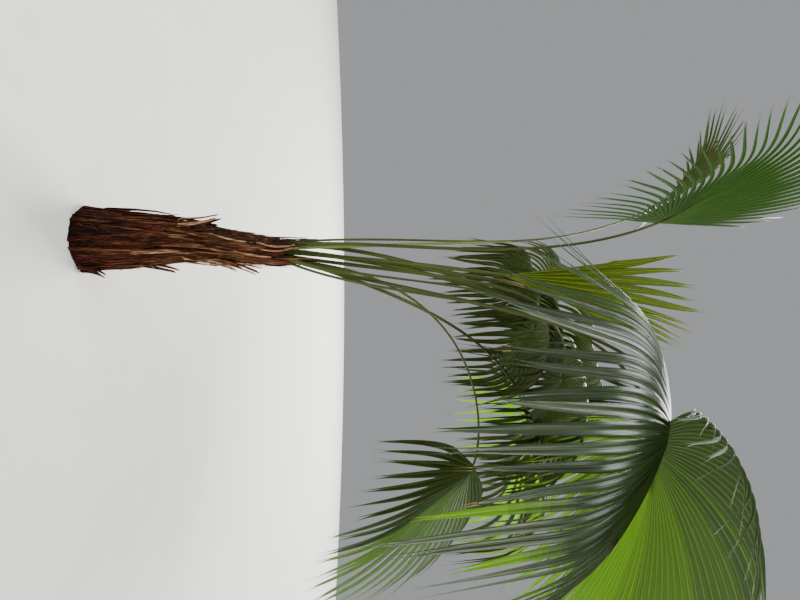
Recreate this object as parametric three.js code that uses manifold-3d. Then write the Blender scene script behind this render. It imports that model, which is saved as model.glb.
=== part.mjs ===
// A fan palm: a short fibrous trunk, tall bare leaf stalks and wide, split, drooping fans.
// Millimetres, +Z up. The origin is the centre of the flat cut under the trunk, at ground level.
// Seen along +Y the crown leans to the right, towards +X.

import * as THREE from 'three';
import { mergeVertices } from 'three/addons/utils/BufferGeometryUtils.js';
import Module from 'manifold-3d';

const wasm = await Module();
wasm.setup();

// Clearance between pieces that meet, and between leaves that pass each other
const GAP = 0.3;
const HEEL_ALLOWANCE = 0.22;
const PASSING_GAP = 1.5;

// Trunk: height above the ground and radius there, a swollen foot that narrows to the neck
const TRUNK_PROFILE = [
  { height: 0, radius: 145 },
  { height: 110, radius: 127 },
  { height: 250, radius: 119 },
  { height: 350, radius: 107 },
  { height: 450, radius: 90 },
  { height: 550, radius: 80 },
  { height: 650, radius: 70 },
  { height: 780, radius: 64 },
  { height: 930, radius: 60 },
];
const TRUNK_TOP = TRUNK_PROFILE[TRUNK_PROFILE.length - 1].height;
const TRUNK_SIDES = 20;
const LEAN_FROM = 380;
const LEAN_SHIFT = 55;
const FLARE_LOBES = 5;
const FLARE_DEPTH = 9;

// Old leaf bases: they climb the trunk in a spiral, each one hugging it and then standing off
const BOOT_COUNT = 17;
const BOOT_TURN = 137.5;
const BOOT_FIRST_HEIGHT = 20;
const BOOT_LAST_HEIGHT = 735;
const BOOT_THICKNESS = 15;
const BOOT_SINK = 14;
const BOOT_STEPS = 4;
const BOOT_NARROWING = 0.72;
const BOOT_NARROWING_POWER = 1.4;
const BOOT_THINNING = 0.35;
const SHOULDER_WIDTH = 0.72;
const SHOULDER_HEIGHT = 0.1;
const CREST_HEIGHT = 0.45;

// What is drawn at random for each base in the spiral, from its least to its most
const BOOT_SEED = 11;
const BOOT_TURN_SCATTER = 12;
const BOOT_LENGTH = [165, 215];
const BOOT_SHORTER_ABOVE = 30;
const BOOT_WIDTH_SHARE = [0.95, 1.2];
const BOOT_STANDOFF = [6, 28];

// Broken stubs that stand out of the trunk at places of their own
const STUBS = [
  { name: 'left', turn: 186, foot: 470, length: 205, width: 52, standoff: 44 },
  { name: 'front', turn: 268, foot: 360, length: 215, width: 88, standoff: 10 },
  { name: 'right_low', turn: 352, foot: 455, length: 170, width: 48, standoff: 30 },
  { name: 'right_middle', turn: 338, foot: 540, length: 175, width: 44, standoff: 38 },
  { name: 'right_high', turn: 4, foot: 640, length: 170, width: 42, standoff: 46 },
  { name: 'right_strip', turn: 349, foot: 265, length: 195, width: 30, standoff: 32 },
  { name: 'ground_right', turn: 343, foot: 8, length: 128, width: 50, standoff: 24 },
  { name: 'neck', turn: 252, foot: 800, length: 215, width: 26, standoff: 6 },
];

// Leaf stalks: an oval section, wide across the leaf, that stands on the flat top of the trunk
const STALK_WIDTH = 24;
const STALK_DEPTH = 13.5;
const STALK_END_WIDTH = 17;
const STALK_END_DEPTH = 11;
const STALK_SIDES = 8;
const STALK_STEPS = 10;
const OUTER_RING = 43;
const INNER_RING = 24;

// Blades: the plate starts this far from the midrib, and is this thick
const BLADE_START = 40;
const BLADE_THICKNESS = 11;
const FREE_STATIONS = [0.22, 0.4, 0.65, 1];
const FREE_WIDTH = 0.84;
const TIP_HALF_WIDTH = 5;
const TAPER_POWER = 1.6;
const PLATE_MIDDLE = 0.55;
const MIDRIB_POWER = 1.3;
const DROOP_LEAD = 0.8;
const RAY_STEPS = 40;

// Each leaf: the point where stalk and blade meet, the compass turn and rise of its midrib, its
// roll about it, and where its stalk stands. reach is the longest ray and spread the half angle
// of the fan. fold lifts the sides, split is where the rays part, and the droops turn a ray
// towards straight down, as a share of the whole turn; sideDroop adds to that by the square of
// the distance from droopPeak, where the fan's sides are at -1 and 1. curl bends the rays towards the midrib within the fan's own face, as a share of their
// angle. cuts is the number of free segments. Where two leaves cross, the earlier is kept whole.
const COMMON = {
  cuts: 16, roll: 0, reach: 1050, spread: 150, fold: 10, split: 0.45, innerDroop: 0.08,
  outerDroop: 0.75, droopPeak: 0, sideDroop: [0, 0], droopWidth: 0.35, curl: 0, midrib: 180,
  midribDroop: 20, shorten: 0.35, ring: OUTER_RING, footPull: 0.35, headPull: 0.35,
};
const LEAVES = [
  { name: 'front', cuts: 22, at: [735, -400, 2545], turn: 312, rise: -10, roll: 6, reach: 1580,
    fold: -6, split: 0.34, innerDroop: 0.27, outerDroop: 0.88, droopPeak: 0.3,
    sideDroop: [-1.2, -0.9], droopWidth: 0.3, midribDroop: 24, shorten: 0.28,
    ringTurn: 312, lean: [340, 70], footPull: 0.3, headPull: 0.3 },
  { name: 'right_high', cuts: 24, at: [815, -450, 2460], turn: 350, rise: 5, roll: -20,
    reach: 1400, spread: 124, fold: 3, split: 0.6, innerDroop: 0.22, outerDroop: 0.4,
    sideDroop: [0.4, 0.3], curl: 0.45, shorten: 0.6, ringTurn: 347, lean: [345, 66] },
  { name: 'left_front', cuts: 18, at: [-40, -300, 2540], turn: 158, rise: 67, roll: 34,
    reach: 1150, spread: 84, fold: 2, innerDroop: 0.04, outerDroop: 0.2,
    sideDroop: [0.2, 0.5], midribDroop: 8, shorten: 0.3, ringTurn: 225, lean: [225, 86] },
  { name: 'young', cuts: 8, at: [157, 150, 1972], turn: 20, rise: 81, roll: 70, reach: 1120,
    spread: 15, fold: 2, split: 0.6, innerDroop: 0, outerDroop: 0.04, midrib: 40,
    midribDroop: 5, shorten: 0.14, ring: 0, ringTurn: 45, lean: [30, 84] },
  { name: 'right_low', cuts: 18, at: [1090, 150, 1830], turn: 336, rise: -30, roll: 22,
    reach: 1060, spread: 86, fold: 0, split: 0.38, innerDroop: 0.03, outerDroop: 0.45,
    sideDroop: [-0.12, 0.5], droopWidth: 0.6, shorten: 0.2, ringTurn: 22, lean: [60, 84],
    footPull: 0.75, headPull: 0.1 },
  { name: 'middle', at: [605, 200, 2290], turn: 30, rise: 5, reach: 1000, outerDroop: 0.9,
    droopWidth: 0.5, ring: INNER_RING, ringTurn: 345, lean: [20, 70] },
  { name: 'back_right', at: [375, 350, 2194], turn: 50, rise: 0, reach: 900, split: 0.34,
    outerDroop: 0.95, droopWidth: 0.4, ring: INNER_RING, ringTurn: 45, lean: [55, 75],
    headPull: 0.2 },
  { name: 'back', at: [200, 600, 2190], turn: 95, rise: -5, reach: 850, spread: 130, split: 0.26,
    outerDroop: 0.97, droopWidth: 0.3, ringTurn: 95, lean: [80, 72], footPull: 0.4 },
  { name: 'right_back', at: [1000, 650, 2200], turn: 30, rise: 12, reach: 1300, split: 0.36,
    outerDroop: 0.96, droopWidth: 0.5, ringTurn: 58, lean: [42, 68] },
  { name: 'back_high', at: [600, 850, 2640], turn: 70, rise: 15, reach: 1000, outerDroop: 0.8,
    droopWidth: 0.45, ring: INNER_RING, ringTurn: 105, lean: [75, 76] },
  { name: 'left_back', at: [350, 1350, 2550], turn: 100, rise: 8, reach: 950, spread: 120,
    outerDroop: 0.85, droopWidth: 0.5, ringTurn: 135, lean: [100, 74] },
  { name: 'left_high', at: [-240, 700, 2900], turn: 170, rise: 66, reach: 900, spread: 70,
    outerDroop: 0.25, shorten: 0.2, ringTurn: 180, lean: [160, 85] },
].map((leaf) => ({ ...COMMON, ...leaf }));

// The spear: the newest leaf, still folded shut, a tapering rod among the stalks
const SPEAR_HEIGHT = 1050;
const SPEAR_RADIUS = 9;
const SPEAR_TIP_RADIUS = 5;
const SPEAR_LEAN = [225, 88];
const SPEAR_TURN = 225;

const rad = THREE.MathUtils.degToRad;
const UP = new THREE.Vector3(0, 0, 1);
const DOWN = new THREE.Vector3(0, 0, -1);

// A repeatable stream of numbers from 0 to 1
function seeded(seed) {
  let state = seed;
  return () => {
    state = (state * 16807) % 2147483647;
    return state / 2147483647;
  };
}

function clamp01(x) {
  return Math.min(1, Math.max(0, x));
}

function smooth(x) {
  const t = clamp01(x);
  return t * t * (3 - 2 * t);
}

function direction([turn, rise]) {
  const flat = Math.cos(rad(rise));
  return new THREE.Vector3(Math.cos(rad(turn)) * flat, Math.sin(rad(turn)) * flat, Math.sin(rad(rise)));
}

// A vector times a number, on a copy
function scaled(vector, amount) {
  return vector.clone().multiplyScalar(amount);
}

// The part of a vector that is square to a unit direction, made unit length
function squareTo(vector, along) {
  return vector.clone().addScaledVector(along, -vector.dot(along)).normalize();
}

// A closed mesh from points and faces, where a face lists three or four points
function meshFrom(points, faces) {
  const index = [];
  for (const [a, b, c, d] of faces) {
    index.push(a, b, c);
    if (d !== undefined) index.push(a, c, d);
  }
  const geometry = new THREE.BufferGeometry();
  const positions = points.flatMap((point) => point.toArray());
  geometry.setAttribute('position', new THREE.Float32BufferAttribute(positions, 3));
  geometry.setIndex(index);
  return geometry;
}

// A closed skin over rings of equally many points, counterclockwise seen from the last ring
function loft(rings) {
  const sides = rings[0].length;
  const last = (rings.length - 1) * sides;
  const faces = [];
  for (let r = 0; r < rings.length - 1; r += 1) {
    for (let s = 0; s < sides; s += 1) {
      const t = (s + 1) % sides;
      faces.push([r * sides + s, r * sides + t, (r + 1) * sides + t, (r + 1) * sides + s]);
    }
  }
  for (let s = 1; s < sides - 1; s += 1) {
    faces.push([0, s + 1, s]);
    faces.push([last, last + s, last + s + 1]);
  }
  return meshFrom(rings.flat(), faces);
}

function solidFrom(geometry) {
  const bare = geometry.clone();
  bare.deleteAttribute('normal');
  bare.deleteAttribute('uv');
  const merged = mergeVertices(bare, 1e-3);
  return new wasm.Manifold(new wasm.Mesh({
    numProp: 3,
    vertProperties: new Float32Array(merged.attributes.position.array),
    triVerts: new Uint32Array(merged.index.array),
  }));
}

// The largest piece of a solid: what a cut leaves loose is dropped
function largestOf(solid) {
  const pieces = solid.decompose();
  pieces.sort((a, b) => b.volume() - a.volume());
  return pieces[0];
}

function geometryFrom(solid) {
  const { vertProperties, triVerts, numProp } = solid.getMesh();
  const positions = [];
  for (let v = 0; v < vertProperties.length; v += numProp) {
    positions.push(vertProperties[v], vertProperties[v + 1], vertProperties[v + 2]);
  }
  const geometry = new THREE.BufferGeometry();
  geometry.setAttribute('position', new THREE.Float32BufferAttribute(positions, 3));
  geometry.setIndex([...triVerts]);
  return geometry;
}

// Trunk: radius and centre at a height
function trunkRadius(height) {
  const upper = TRUNK_PROFILE.findIndex((station) => station.height >= height);
  if (upper <= 0) return TRUNK_PROFILE[0].radius;
  const a = TRUNK_PROFILE[upper - 1];
  const b = TRUNK_PROFILE[upper];
  const share = (height - a.height) / (b.height - a.height);
  return a.radius + (b.radius - a.radius) * share;
}

function trunkCentre(height) {
  const shift = LEAN_SHIFT * smooth((height - LEAN_FROM) / (TRUNK_TOP - LEAN_FROM));
  return new THREE.Vector3(shift, 0, height);
}

function trunkCore() {
  const rings = TRUNK_PROFILE.map(({ height, radius }) => {
    const flare = FLARE_DEPTH * (1 - smooth(height / LEAN_FROM));
    return Array.from({ length: TRUNK_SIDES }, (_, side) => {
      const angle = (side / TRUNK_SIDES) * 2 * Math.PI;
      const wave = flare * (Math.cos(angle * FLARE_LOBES) - 1) / 2;
      const out = new THREE.Vector3(Math.cos(angle), Math.sin(angle), 0);
      return trunkCentre(height).addScaledVector(out, radius + wave);
    });
  });
  return solidFrom(loft(rings));
}

// One old leaf base: a plate that hugs the trunk, then narrows and stands off it towards its tip.
// Its section is sunk at both edges and rounded outwards, highest in the middle.
function boot({ turn, foot, length, width, standoff }) {
  const steps = BOOT_STEPS;
  const out = new THREE.Vector3(Math.cos(rad(turn)), Math.sin(rad(turn)), 0);
  const side = new THREE.Vector3(-out.y, out.x, 0);
  const rings = Array.from({ length: steps + 1 }, (_, step) => {
    const share = step / steps;
    const height = foot + length * share;
    const half = (width / 2) * (1 - BOOT_NARROWING * share ** BOOT_NARROWING_POWER);
    const depth = BOOT_THICKNESS * (1 - BOOT_THINNING * share);
    const away = trunkRadius(Math.min(height, TRUNK_TOP)) + standoff * share ** 2;
    const centre = trunkCentre(height).addScaledVector(out, away);
    const sink = BOOT_SINK * (1 - share) + depth;
    const shoulder = half * SHOULDER_WIDTH;
    const raised = depth * SHOULDER_HEIGHT;
    return [
      centre.clone().addScaledVector(side, -half).addScaledVector(out, -sink),
      centre.clone().addScaledVector(side, -shoulder).addScaledVector(out, raised),
      centre.clone().addScaledVector(out, depth * CREST_HEIGHT),
      centre.clone().addScaledVector(side, shoulder).addScaledVector(out, raised),
      centre.clone().addScaledVector(side, half).addScaledVector(out, -sink),
      centre.clone().addScaledVector(out, -sink),
    ];
  });
  return solidFrom(loft(rings));
}

function spiralBoots() {
  const draw = seeded(BOOT_SEED);
  const between = ([least, most]) => least + (most - least) * draw();
  return Array.from({ length: BOOT_COUNT }, (_, count) => {
    const share = count / (BOOT_COUNT - 1);
    const foot = BOOT_FIRST_HEIGHT + (BOOT_LAST_HEIGHT - BOOT_FIRST_HEIGHT) * share;
    return {
      turn: count * BOOT_TURN + BOOT_TURN_SCATTER * (draw() - 0.5),
      foot,
      length: between(BOOT_LENGTH) - BOOT_SHORTER_ABOVE * share,
      width: trunkRadius(foot) * between(BOOT_WIDTH_SHARE),
      standoff: between(BOOT_STANDOFF),
    };
  });
}

function trunk() {
  const parts = [...spiralBoots(), ...STUBS].map(boot);
  const joined = parts.reduce((whole, part) => whole.add(part), trunkCore());
  return geometryFrom(largestOf(joined));
}

// The leaf's own axes: along its midrib, out of its upper face, and across it
function leafAxes(leaf) {
  const along = direction([leaf.turn, leaf.rise]);
  const upper = squareTo(UP, along).applyAxisAngle(along, rad(leaf.roll));
  const across = along.clone().cross(upper);
  return { along, upper, across };
}

// One ray of the fan at an angle from the midrib: its start on the midrib, its first direction,
// its sideways direction, the face between them, and its length
function ray(leaf, angle) {
  const { along, upper, across } = leafAxes(leaf);
  const share = Math.abs(angle) / rad(leaf.spread);
  const slide = leaf.midrib * Math.max(0, 1 - share) ** MIDRIB_POWER;
  const bend = rad(leaf.midribDroop) * (slide / leaf.midrib);
  const bent = along.clone().applyAxisAngle(along.clone().cross(DOWN).normalize(), bend);
  const base = new THREE.Vector3(...leaf.at).addScaledVector(along.clone().add(bent).normalize(), slide);
  const side = Math.sign(angle);
  const lift = rad(leaf.fold);
  const outward = scaled(across, side * Math.cos(lift)).addScaledVector(upper, Math.sin(lift));
  const turn = Math.abs(angle);
  const first = scaled(bent, Math.cos(turn)).addScaledVector(outward, Math.sin(turn)).normalize();
  const sweep = side === 0
    ? across.clone()
    : scaled(bent, -Math.sin(turn)).addScaledVector(outward, Math.cos(turn)).multiplyScalar(side);
  const sideways = squareTo(sweep, first);
  return {
    base,
    first,
    sideways,
    face: sideways.clone().cross(first).normalize(),
    length: (leaf.reach - leaf.midrib) * (1 - leaf.shorten * share ** 2),
  };
}

// How far a ray has turned towards straight down, at a share of its length
function droopAt(leaf, angle, share) {
  const fromPeak = angle / rad(leaf.spread) - leaf.droopPeak;
  const extra = (fromPeak < 0 ? leaf.sideDroop[0] : leaf.sideDroop[1]) * fromPeak ** 2;
  const outer = THREE.MathUtils.clamp(leaf.outerDroop + extra, leaf.innerDroop, 1);
  const late = smooth((share - leaf.split * DROOP_LEAD) / leaf.droopWidth);
  return leaf.innerDroop * clamp01(share / leaf.split) + (outer - leaf.innerDroop) * late;
}

// The place, sideways direction and upper face at the given shares of a ray's length
function followRay(leaf, angle, shares) {
  const line = ray(leaf, angle);
  const steps = RAY_STEPS;
  const point = line.base.clone();
  const stops = [];
  let next = 0;
  for (let step = 0; step <= steps && next < shares.length; step += 1) {
    const middle = (step + 0.5) / steps;
    const curl = leaf.curl * angle * middle;
    const along = line.first.clone().applyAxisAngle(line.face, curl);
    const hinge = along.clone().cross(DOWN).normalize();
    const toDown = Math.acos(THREE.MathUtils.clamp(along.dot(DOWN), -1, 1));
    const turn = toDown * droopAt(leaf, angle, middle);
    along.applyAxisAngle(hinge, turn);
    while (next < shares.length && shares[next] <= (step + 1) / steps + 1e-9) {
      const partial = shares[next] - step / steps;
      const sideways = line.sideways.clone().applyAxisAngle(line.face, curl).applyAxisAngle(hinge, turn);
      stops.push({
        point: point.clone().addScaledVector(along, partial * line.length),
        sideways,
        upper: sideways.clone().cross(along).normalize(),
      });
      next += 1;
    }
    point.addScaledVector(along, line.length / steps);
  }
  return stops;
}

// A fan blade, cut to the rays between its segments. extra thickens and widens it all round,
// for the clearance that a leaf passing it keeps
function blade(leaf, extra = 0) {
  const { cuts } = leaf;
  const start = BLADE_START / (leaf.reach - leaf.midrib);
  const plateShares = [start, leaf.split * PLATE_MIDDLE, leaf.split];
  const freeShares = FREE_STATIONS.map((share) => leaf.split + (1 - leaf.split) * share);
  const half = BLADE_THICKNESS / 2 + extra;
  const angleAt = (index) => rad(leaf.spread) * ((2 * index) / cuts - 1);
  const points = [];
  const faces = [];

  // A pair of points, above and below the blade's middle: the lower one is the index plus one
  function pair({ point, upper }, shift = new THREE.Vector3()) {
    points.push(point.clone().add(shift).addScaledVector(upper, half));
    points.push(point.clone().add(shift).addScaledVector(upper, -half));
    return points.length - 2;
  }
  function plate(a, b, c, d) {
    faces.push([a, b, c, d]);
    faces.push(d === undefined ? [c + 1, b + 1, a + 1] : [c + 1, b + 1, a + 1, d + 1]);
  }
  function wall(a, b) {
    faces.push([a, b, b + 1, a + 1]);
  }

  const lines = Array.from({ length: cuts + 1 }, (_, index) => {
    const stops = followRay(leaf, angleAt(index), plateShares);
    const edge = index === 0 ? -extra : index === cuts ? extra : 0;
    return stops.map((stop) => pair(stop, scaled(stop.sideways, edge)));
  });
  const rim = plateShares.length - 1;
  for (let index = 0; index < cuts; index += 1) {
    for (let row = 0; row < rim; row += 1) {
      plate(lines[index][row], lines[index + 1][row], lines[index + 1][row + 1], lines[index][row + 1]);
    }
  }
  for (let row = 0; row < rim; row += 1) {
    wall(lines[0][row], lines[0][row + 1]);
    wall(lines[cuts][row + 1], lines[cuts][row]);
  }

  // Across the midrib, from each ray to its twin on the other side
  for (let index = 0; index < cuts / 2 - 1; index += 1) {
    const twin = cuts - index;
    plate(lines[index + 1][0], lines[index][0], lines[twin][0], lines[twin - 1][0]);
  }
  const middle = cuts / 2;
  plate(lines[middle][0], lines[middle - 1][0], lines[middle + 1][0]);
  wall(lines[cuts][0], lines[0][0]);

  // The free rays, from the split to their tips
  for (let index = 0; index < cuts; index += 1) {
    const angle = (angleAt(index) + angleAt(index + 1)) / 2;
    const stops = followRay(leaf, angle, freeShares);
    const rimEdge = points[lines[index + 1][rim]].clone().sub(points[lines[index][rim]]);
    const chord = Math.abs(rimEdge.dot(stops[0].sideways));
    let left = lines[index][rim];
    let right = lines[index + 1][rim];
    stops.forEach((stop, station) => {
      const share = FREE_STATIONS[station];
      const taper = (chord / 2) * FREE_WIDTH * (1 - share ** TAPER_POWER);
      const wide = Math.max(taper, TIP_HALF_WIDTH) + extra;
      const nextLeft = pair(stop, scaled(stop.sideways, -wide));
      const nextRight = pair(stop, scaled(stop.sideways, wide));
      plate(left, right, nextRight, nextLeft);
      wall(left, nextLeft);
      wall(nextRight, right);
      left = nextLeft;
      right = nextRight;
    });
    wall(left, right);
  }
  return meshFrom(points, faces);
}

// The flat end of the blade behind the midrib, where its stalk comes in
function bladeHeel(leaf) {
  const start = BLADE_START / (leaf.reach - leaf.midrib);
  const [one] = followRay(leaf, -rad(leaf.spread), [start]);
  const [other] = followRay(leaf, rad(leaf.spread), [start]);
  return one.point.add(other.point).multiplyScalar(0.5);
}

// A stalk: from the trunk's top, out along its lean, and in along the leaf's midrib
function stalkCurve(leaf) {
  const { along } = leafAxes(leaf);
  const foot = trunkCentre(TRUNK_TOP).add(scaled(direction([leaf.ringTurn, 0]), leaf.ring));
  foot.z += GAP;
  const head = bladeHeel(leaf).addScaledVector(along, -GAP - HEEL_ALLOWANCE);
  const span = foot.distanceTo(head);
  return new THREE.CubicBezierCurve3(
    foot,
    foot.clone().addScaledVector(direction(leaf.lean), leaf.footPull * span),
    head.clone().addScaledVector(along, -leaf.headPull * span),
    head,
  );
}

function stalk(leaf, extra = 0) {
  const curve = stalkCurve(leaf);
  const { along, across } = leafAxes(leaf);
  const footSide = direction([leaf.ringTurn + 90, 0]);
  if (footSide.dot(across) < 0) footSide.negate();
  const rings = Array.from({ length: STALK_STEPS + 1 }, (_, step) => {
    const share = step / STALK_STEPS;
    const centre = curve.getPoint(share);
    let tangent = curve.getTangent(share);
    if (step === 0) tangent = UP.clone();
    if (step === STALK_STEPS) tangent = along.clone();
    const side = squareTo(footSide.clone().lerp(across, smooth(share)), tangent);
    const front = tangent.clone().cross(side);
    const wide = THREE.MathUtils.lerp(STALK_WIDTH, STALK_END_WIDTH, share) / 2 + extra;
    const deep = THREE.MathUtils.lerp(STALK_DEPTH, STALK_END_DEPTH, share) / 2 + extra;
    return Array.from({ length: STALK_SIDES }, (__, corner) => {
      const angle = ((corner + 0.5) / STALK_SIDES) * 2 * Math.PI;
      return centre.clone()
        .addScaledVector(side, wide * Math.cos(angle))
        .addScaledVector(front, deep * Math.sin(angle));
    });
  });
  return loft(rings);
}

function spear() {
  const foot = trunkCentre(TRUNK_TOP).add(scaled(direction([SPEAR_TURN, 0]), INNER_RING));
  foot.z += GAP;
  const along = direction(SPEAR_LEAN);
  const rings = [0, 0.5, 1].map((share) => {
    const radius = THREE.MathUtils.lerp(SPEAR_RADIUS, SPEAR_TIP_RADIUS, share);
    const centre = foot.clone().addScaledVector(along, share * SPEAR_HEIGHT);
    return Array.from({ length: STALK_SIDES }, (_, corner) => {
      const angle = (corner / STALK_SIDES) * 2 * Math.PI;
      const out = new THREE.Vector3(Math.cos(angle), Math.sin(angle), 0);
      return centre.clone().addScaledVector(out, radius);
    });
  });
  return loft(rings);
}

const barkMaterial = new THREE.MeshStandardMaterial({ color: 0x6b4029, roughness: 0.95, metalness: 0 });
const stalkMaterial = new THREE.MeshStandardMaterial({ color: 0x5d7434, roughness: 0.5, metalness: 0 });
const bladeMaterial = new THREE.MeshStandardMaterial({ color: 0x3c5a2a, roughness: 0.55, metalness: 0 });

const palm = new THREE.Group();
function addPiece(name, geometry, material) {
  const mesh = new THREE.Mesh(geometry, material);
  mesh.name = name;
  palm.add(mesh);
}

addPiece('trunk', trunk(), barkMaterial);
addPiece('spear', spear(), stalkMaterial);
for (const leaf of LEAVES) {
  addPiece(`stalk_${leaf.name}`, stalk(leaf), stalkMaterial);
}

// Blades in order: each gives way to every stalk, to the spear and to the blades before it
const inTheWay = LEAVES.map((leaf) => solidFrom(stalk(leaf, PASSING_GAP)));
inTheWay.push(solidFrom(spear()));
for (const leaf of LEAVES) {
  const whole = solidFrom(blade(leaf));
  const clear = inTheWay.reduce((rest, other) => rest.subtract(other), whole);
  addPiece(`blade_${leaf.name}`, geometryFrom(largestOf(clear)), bladeMaterial);
  inTheWay.push(whole, solidFrom(blade(leaf, PASSING_GAP)));
}

export default palm;
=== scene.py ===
# %% [markdown]
# # A fan palm
# The palm has a short trunk wrapped in split, fibrous leaf bases, tall bare stalks, and wide fans
# that part into long drooping segments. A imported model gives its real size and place. This script
# grows the fine version of each piece inside the space that the plain piece holds, by the same
# rule, so nothing has to be fitted afterwards.

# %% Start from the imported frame
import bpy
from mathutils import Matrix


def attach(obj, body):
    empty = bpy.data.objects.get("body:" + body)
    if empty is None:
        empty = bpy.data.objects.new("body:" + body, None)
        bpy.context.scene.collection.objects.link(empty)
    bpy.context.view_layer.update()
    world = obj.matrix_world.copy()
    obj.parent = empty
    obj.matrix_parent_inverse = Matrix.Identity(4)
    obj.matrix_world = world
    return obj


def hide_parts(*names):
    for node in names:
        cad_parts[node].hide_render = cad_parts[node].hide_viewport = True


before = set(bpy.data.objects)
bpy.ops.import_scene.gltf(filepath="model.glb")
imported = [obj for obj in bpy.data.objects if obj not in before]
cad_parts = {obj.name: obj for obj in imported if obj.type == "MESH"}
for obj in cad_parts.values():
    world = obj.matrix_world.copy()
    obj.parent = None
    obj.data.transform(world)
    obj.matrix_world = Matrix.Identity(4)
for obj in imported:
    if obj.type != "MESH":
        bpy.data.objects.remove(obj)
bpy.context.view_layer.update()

from types import SimpleNamespace

import bpy
import numpy as np
from mathutils import Matrix

# %% [markdown]
# ## The camera
# The photograph was taken upright and then turned on its side, so the ground is at the left edge
# of the picture. The camera is level, at eye height, and rolled a quarter turn: the picture's
# right is up in the world. The camera comes first because everything else is judged through it.

# %% Place the camera
IMAGE_WIDTH = 800
FOCAL_PIXELS = 600
SENSOR = 36.0
EYE = (0.28, -2.80, 1.47)


def rolled_camera():
    """A level camera that looks along +Y, with world +Z at the right of the picture and world -X
    at its top. Lens = sensor width times focal length in pixels over the picture's width."""
    data = bpy.data.cameras.new("camera")
    data.sensor_width = SENSOR
    data.lens = SENSOR * FOCAL_PIXELS / IMAGE_WIDTH
    camera = bpy.data.objects.new("camera", data)
    picture_right, picture_up, backwards = (0, 0, 1), (-1, 0, 0), (0, -1, 0)
    turn = Matrix((picture_right, picture_up, backwards)).transposed().to_4x4()
    camera.matrix_world = Matrix.Translation(EYE) @ turn
    bpy.context.scene.collection.objects.link(camera)
    bpy.context.scene.camera = camera
    return camera


camera = rolled_camera()
print("lens", round(camera.data.lens, 2), "mm")

# %% [markdown]
# ## Small tools for vectors and noise
# Every shape below is worked out as whole arrays. These helpers turn vectors about an axis, ease a
# number from 0 to 1, and give smooth noise that is the same on every run.

# %% Vector helpers
UP = np.array([0.0, 0.0, 1.0])
DOWN = -UP


def unit(v):
    """Each vector divided by its own length."""
    return v / np.maximum(np.linalg.norm(v, axis=-1, keepdims=True), 1e-9)


def turned(v, axis, angle):
    """Vectors turned about unit axes: v cos + (axis x v) sin + axis (axis . v) (1 - cos)."""
    c = np.cos(angle)[..., None]
    s = np.sin(angle)[..., None]
    along = np.sum(v * axis, axis=-1, keepdims=True)
    return v * c + np.cross(axis, v) * s + axis * along * (1 - c)


def between(ends, share):
    """The value at a share of the way from the first end to the second."""
    return ends[0] + (ends[1] - ends[0]) * share


def smooth(x):
    """An ease from 0 to 1: 3x^2 - 2x^3 between the two, flat outside."""
    x = np.clip(x, 0, 1)
    return x * x * (3 - 2 * x)


def heading(turn, rise):
    """The unit direction at a compass turn from +X and a rise above level, in degrees."""
    a, e = np.radians(turn), np.radians(rise)
    return np.array([np.cos(a) * np.cos(e), np.sin(a) * np.cos(e), np.sin(e)])


def level_out(angle):
    """The level direction at each angle round the trunk, in radians."""
    return np.stack([np.cos(angle), np.sin(angle), np.zeros_like(angle)], axis=-1)


def full_turn(count):
    """Angles evenly round a full turn, in radians."""
    return np.linspace(0, 2 * np.pi, count, endpoint=False)


def square_to(v, along):
    """The part of v that is square to a unit direction, made unit length."""
    return unit(v - along * np.sum(v * along, axis=-1, keepdims=True))


# %% Smooth noise
def lattice(cell):
    """A repeatable number from 0 to 1 for each whole-numbered cell, from a chaotic sine."""
    mixed = np.sin(cell @ np.array([127.1, 311.7, 74.7])) * 43758.5453
    return mixed - np.floor(mixed)


def noise(points):
    """Value noise from -1 to 1: the eight corners' numbers, blended by an ease along each axis."""
    low = np.floor(points)
    part = smooth(points - low)
    total = np.zeros(points.shape[:-1])
    for corner in np.ndindex(2, 2, 2):
        weight = np.prod(np.where(corner, part, 1 - part), axis=-1)
        total += weight * lattice(low + np.array(corner))
    return total * 2 - 1


def layered(points, octaves=3):
    """Noise added to finer and weaker noise, each layer twice as fine and half as strong."""
    return sum(noise(points * 2 ** k + 17.3 * k) / 2 ** k for k in range(octaves))


# %% [markdown]
# ## From arrays to meshes
# Almost everything on this plant is a ribbon: a leaf segment, a strip of old leaf base, a fibre.
# One function skins thousands of ribbons at once. Each ribbon is a closed shell with a top, a
# bottom, two edges and two ends, so light and export both see a real thin solid.

# %% Mesh helpers
def mesh_object(name, points, quads, slots, slot_index=0, uv=None):
    """A mesh object at the origin from arrays of points and quads, with a material slot number
    for each quad and, where given, a place on the piece's own map for each quad corner."""
    mesh = bpy.data.meshes.new(name)
    mesh.vertices.add(len(points))
    mesh.vertices.foreach_set("co", points.astype(np.float32).ravel())
    mesh.loops.add(quads.size)
    mesh.loops.foreach_set("vertex_index", quads.astype(np.int32).ravel())
    mesh.polygons.add(len(quads))
    mesh.polygons.foreach_set("loop_start", np.arange(0, quads.size, 4, dtype=np.int32))
    mesh.polygons.foreach_set("material_index", np.full(len(quads), slot_index, np.int32))
    mesh.polygons.foreach_set("use_smooth", np.ones(len(quads), bool))
    for slot in slots:
        mesh.materials.append(slot)
    if uv is not None:
        layer = mesh.uv_layers.new(name="place")
        layer.data.foreach_set("uv", uv.astype(np.float32).ravel())
    mesh.update(calc_edges=True)
    mesh.validate(clean_customdata=False)
    piece = bpy.data.objects.new(name, mesh)
    bpy.context.scene.collection.objects.link(piece)
    return piece


def finish_piece(piece, slot, *nodes):
    """Lets the piece ride on the plant's one body and hides the plain pieces it stands for.
    The slot is not used."""
    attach(piece, "root")
    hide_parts(*nodes)
    print(piece.name, "triangles", 2 * len(piece.data.polygons))


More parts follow.
